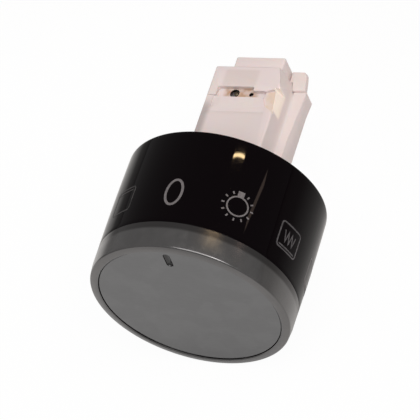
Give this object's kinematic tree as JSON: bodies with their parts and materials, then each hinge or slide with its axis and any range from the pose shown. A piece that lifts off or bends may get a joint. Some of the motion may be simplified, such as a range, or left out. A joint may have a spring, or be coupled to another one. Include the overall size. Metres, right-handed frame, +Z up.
{
  "type": "retractable oven knob",
  "caption": "Push-push rotary knob: a printed barrel with a mirror cap slides over a moulded stem that plugs onto a switch shaft.",
  "frame": {"origin": "on the knob's axis at the stem's back end, where the switch shaft goes in", "axes": "+Y along the axis towards the switch, so the face looks along -Y; +Z up, through the pointer; +X to the right seen from the front"},
  "size_m": [0.042, 0.0581, 0.042],
  "materials": {
    "gloss_black": "high gloss moulded, light grey printed symbols",
    "mirror_plating": "plated plastic, dark mirror",
    "mirror_face": "plated plastic, flat dark mirror",
    "white_moulding": "white acetal moulding, slightly pink, traces of grease",
    "grey_moulding": "satin moulded, dark",
    "bright_steel": "drawn wire and strip"
  },
  "bodies": {
    "stem": {"stem_upper": "white_moulding", "stem_lower": "white_moulding", "shaft_socket": "white_moulding", "shaft_clip": "bright_steel", "return_spring": "bright_steel"},
    "knob": {"skirt": "gloss_black", "bezel_ring": "mirror_plating", "face_plate": "mirror_face", "carrier": "grey_moulding", "cam_slider": "white_moulding", "slider_screw": "bright_steel"},
    "pin": {"latch_pin": "bright_steel"}
  },
  "joints": [
    {"name": "press", "type": "slide", "parent": "stem", "child": "knob", "axis": [0, 1, 0], "range_m": [0, 0.0125], "stiffness_N_per_m": 350, "springref_m": -0.01, "deforming": ["return_spring"]},
    {"name": "latch_swing", "type": "hinge", "parent": "stem", "child": "pin", "pos_m": [-0.0019, -0.0098, 0.00525], "axis": [0, 0, 1], "range_deg": [0, 12.4]}
  ]
}
